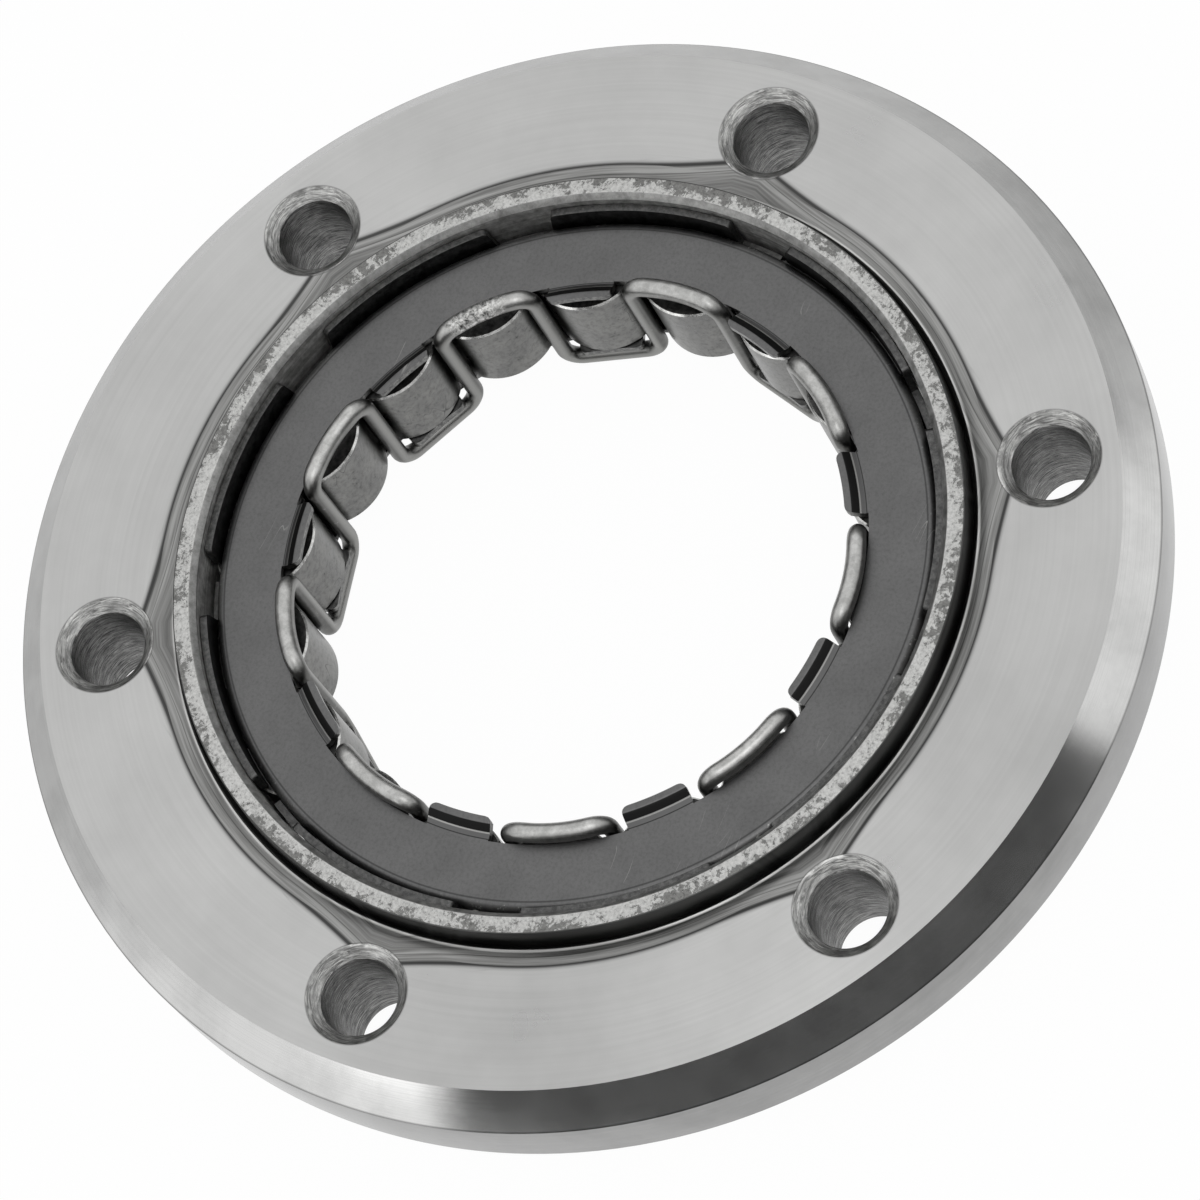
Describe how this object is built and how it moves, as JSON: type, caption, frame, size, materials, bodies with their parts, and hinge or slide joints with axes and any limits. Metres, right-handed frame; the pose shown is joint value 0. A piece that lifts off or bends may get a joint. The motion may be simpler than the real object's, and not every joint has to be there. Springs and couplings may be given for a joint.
{
  "type": "sprag clutch",
  "caption": "Flanged sprag clutch: a thick bolt-on outer race with a low collar, and in its bore nested sheet cages and a meander wire spring that hold a ring of tilting sprags.",
  "frame": {"origin": "centre of the flange's back face, on the clutch's axis", "axes": "+Z along the clutch's axis from the back face to the collar, +X through the centre of one screw hole"},
  "size_m": [0.125, 0.125, 0.0178],
  "materials": {
    "housing_steel": "turned and ground steel",
    "cage_sheet": "dark phosphated spring-steel sheet",
    "plate_sheet": "dark phosphated steel sheet, satin",
    "spring_wire": "satin spring-steel wire",
    "sprag_steel": "hardened and tumbled bearing steel"
  },
  "bodies": {
    "housing": {"flange_housing": "housing_steel"},
    "cage": {"outer_cage": "cage_sheet", "inner_cage": "plate_sheet", "rear_plate": "plate_sheet", "meander_spring": "spring_wire"},
    "sprag_01": {"sprag_01": "sprag_steel"},
    "sprag_02": {"sprag_02": "sprag_steel"},
    "sprag_03": {"sprag_03": "sprag_steel"},
    "sprag_04": {"sprag_04": "sprag_steel"},
    "sprag_05": {"sprag_05": "sprag_steel"},
    "sprag_06": {"sprag_06": "sprag_steel"},
    "sprag_07": {"sprag_07": "sprag_steel"},
    "sprag_08": {"sprag_08": "sprag_steel"},
    "sprag_09": {"sprag_09": "sprag_steel"},
    "sprag_10": {"sprag_10": "sprag_steel"},
    "sprag_11": {"sprag_11": "sprag_steel"},
    "sprag_12": {"sprag_12": "sprag_steel"},
    "sprag_13": {"sprag_13": "sprag_steel"},
    "sprag_14": {"sprag_14": "sprag_steel"},
    "sprag_15": {"sprag_15": "sprag_steel"},
    "sprag_16": {"sprag_16": "sprag_steel"},
    "sprag_17": {"sprag_17": "sprag_steel"},
    "sprag_18": {"sprag_18": "sprag_steel"}
  },
  "joints": [
    {"name": "cage_turn", "type": "hinge", "parent": "housing", "child": "cage", "pos_m": [0, 0, 0.00845], "axis": [0, 0, 1], "continuous": true},
    {"name": "sprag_01_lean", "type": "hinge", "parent": "cage", "child": "sprag_01", "pos_m": [0.03496, 0.00334, 0.00845], "axis": [0, 0, 1], "range_deg": [0, 12], "stiffness_Nm_per_rad": 0.02},
    {"name": "sprag_02_lean", "type": "hinge", "parent": "cage", "child": "sprag_02", "pos_m": [0.03171, 0.0151, 0.00845], "axis": [0, 0, 1], "range_deg": [0, 12], "stiffness_Nm_per_rad": 0.02},
    {"name": "sprag_03_lean", "type": "hinge", "parent": "cage", "child": "sprag_03", "pos_m": [0.02463, 0.02503, 0.00845], "axis": [0, 0, 1], "range_deg": [0, 12], "stiffness_Nm_per_rad": 0.02},
    {"name": "sprag_04_lean", "type": "hinge", "parent": "cage", "child": "sprag_04", "pos_m": [0.01459, 0.03195, 0.00845], "axis": [0, 0, 1], "range_deg": [0, 12], "stiffness_Nm_per_rad": 0.02},
    {"name": "sprag_05_lean", "type": "hinge", "parent": "cage", "child": "sprag_05", "pos_m": [0.00278, 0.03501, 0.00845], "axis": [0, 0, 1], "range_deg": [0, 12], "stiffness_Nm_per_rad": 0.02},
    {"name": "sprag_06_lean", "type": "hinge", "parent": "cage", "child": "sprag_06", "pos_m": [-0.00936, 0.03385, 0.00845], "axis": [0, 0, 1], "range_deg": [0, 12], "stiffness_Nm_per_rad": 0.02},
    {"name": "sprag_07_lean", "type": "hinge", "parent": "cage", "child": "sprag_07", "pos_m": [-0.02037, 0.02861, 0.00845], "axis": [0, 0, 1], "range_deg": [0, 12], "stiffness_Nm_per_rad": 0.02},
    {"name": "sprag_08_lean", "type": "hinge", "parent": "cage", "child": "sprag_08", "pos_m": [-0.02893, 0.01991, 0.00845], "axis": [0, 0, 1], "range_deg": [0, 12], "stiffness_Nm_per_rad": 0.02},
    {"name": "sprag_09_lean", "type": "hinge", "parent": "cage", "child": "sprag_09", "pos_m": [-0.034, 0.00882, 0.00845], "axis": [0, 0, 1], "range_deg": [0, 12], "stiffness_Nm_per_rad": 0.02},
    {"name": "sprag_10_lean", "type": "hinge", "parent": "cage", "child": "sprag_10", "pos_m": [-0.03496, -0.00334, 0.00845], "axis": [0, 0, 1], "range_deg": [0, 12], "stiffness_Nm_per_rad": 0.02},
    {"name": "sprag_11_lean", "type": "hinge", "parent": "cage", "child": "sprag_11", "pos_m": [-0.03171, -0.0151, 0.00845], "axis": [0, 0, 1], "range_deg": [0, 12], "stiffness_Nm_per_rad": 0.02},
    {"name": "sprag_12_lean", "type": "hinge", "parent": "cage", "child": "sprag_12", "pos_m": [-0.02463, -0.02503, 0.00845], "axis": [0, 0, 1], "range_deg": [0, 12], "stiffness_Nm_per_rad": 0.02},
    {"name": "sprag_13_lean", "type": "hinge", "parent": "cage", "child": "sprag_13", "pos_m": [-0.01459, -0.03195, 0.00845], "axis": [0, 0, 1], "range_deg": [0, 12], "stiffness_Nm_per_rad": 0.02},
    {"name": "sprag_14_lean", "type": "hinge", "parent": "cage", "child": "sprag_14", "pos_m": [-0.00278, -0.03501, 0.00845], "axis": [0, 0, 1], "range_deg": [0, 12], "stiffness_Nm_per_rad": 0.02},
    {"name": "sprag_15_lean", "type": "hinge", "parent": "cage", "child": "sprag_15", "pos_m": [0.00936, -0.03385, 0.00845], "axis": [0, 0, 1], "range_deg": [0, 12], "stiffness_Nm_per_rad": 0.02},
    {"name": "sprag_16_lean", "type": "hinge", "parent": "cage", "child": "sprag_16", "pos_m": [0.02037, -0.02861, 0.00845], "axis": [0, 0, 1], "range_deg": [0, 12], "stiffness_Nm_per_rad": 0.02},
    {"name": "sprag_17_lean", "type": "hinge", "parent": "cage", "child": "sprag_17", "pos_m": [0.02893, -0.01991, 0.00845], "axis": [0, 0, 1], "range_deg": [0, 12], "stiffness_Nm_per_rad": 0.02},
    {"name": "sprag_18_lean", "type": "hinge", "parent": "cage", "child": "sprag_18", "pos_m": [0.034, -0.00882, 0.00845], "axis": [0, 0, 1], "range_deg": [0, 12], "stiffness_Nm_per_rad": 0.02}
  ],
  "couplings": [
    {"joint": "sprag_02_lean", "follows": "sprag_01_lean", "ratio": 1},
    {"joint": "sprag_03_lean", "follows": "sprag_01_lean", "ratio": 1},
    {"joint": "sprag_04_lean", "follows": "sprag_01_lean", "ratio": 1},
    {"joint": "sprag_05_lean", "follows": "sprag_01_lean", "ratio": 1},
    {"joint": "sprag_06_lean", "follows": "sprag_01_lean", "ratio": 1},
    {"joint": "sprag_07_lean", "follows": "sprag_01_lean", "ratio": 1},
    {"joint": "sprag_08_lean", "follows": "sprag_01_lean", "ratio": 1},
    {"joint": "sprag_09_lean", "follows": "sprag_01_lean", "ratio": 1},
    {"joint": "sprag_10_lean", "follows": "sprag_01_lean", "ratio": 1},
    {"joint": "sprag_11_lean", "follows": "sprag_01_lean", "ratio": 1},
    {"joint": "sprag_12_lean", "follows": "sprag_01_lean", "ratio": 1},
    {"joint": "sprag_13_lean", "follows": "sprag_01_lean", "ratio": 1},
    {"joint": "sprag_14_lean", "follows": "sprag_01_lean", "ratio": 1},
    {"joint": "sprag_15_lean", "follows": "sprag_01_lean", "ratio": 1},
    {"joint": "sprag_16_lean", "follows": "sprag_01_lean", "ratio": 1},
    {"joint": "sprag_17_lean", "follows": "sprag_01_lean", "ratio": 1},
    {"joint": "sprag_18_lean", "follows": "sprag_01_lean", "ratio": 1}
  ]
}
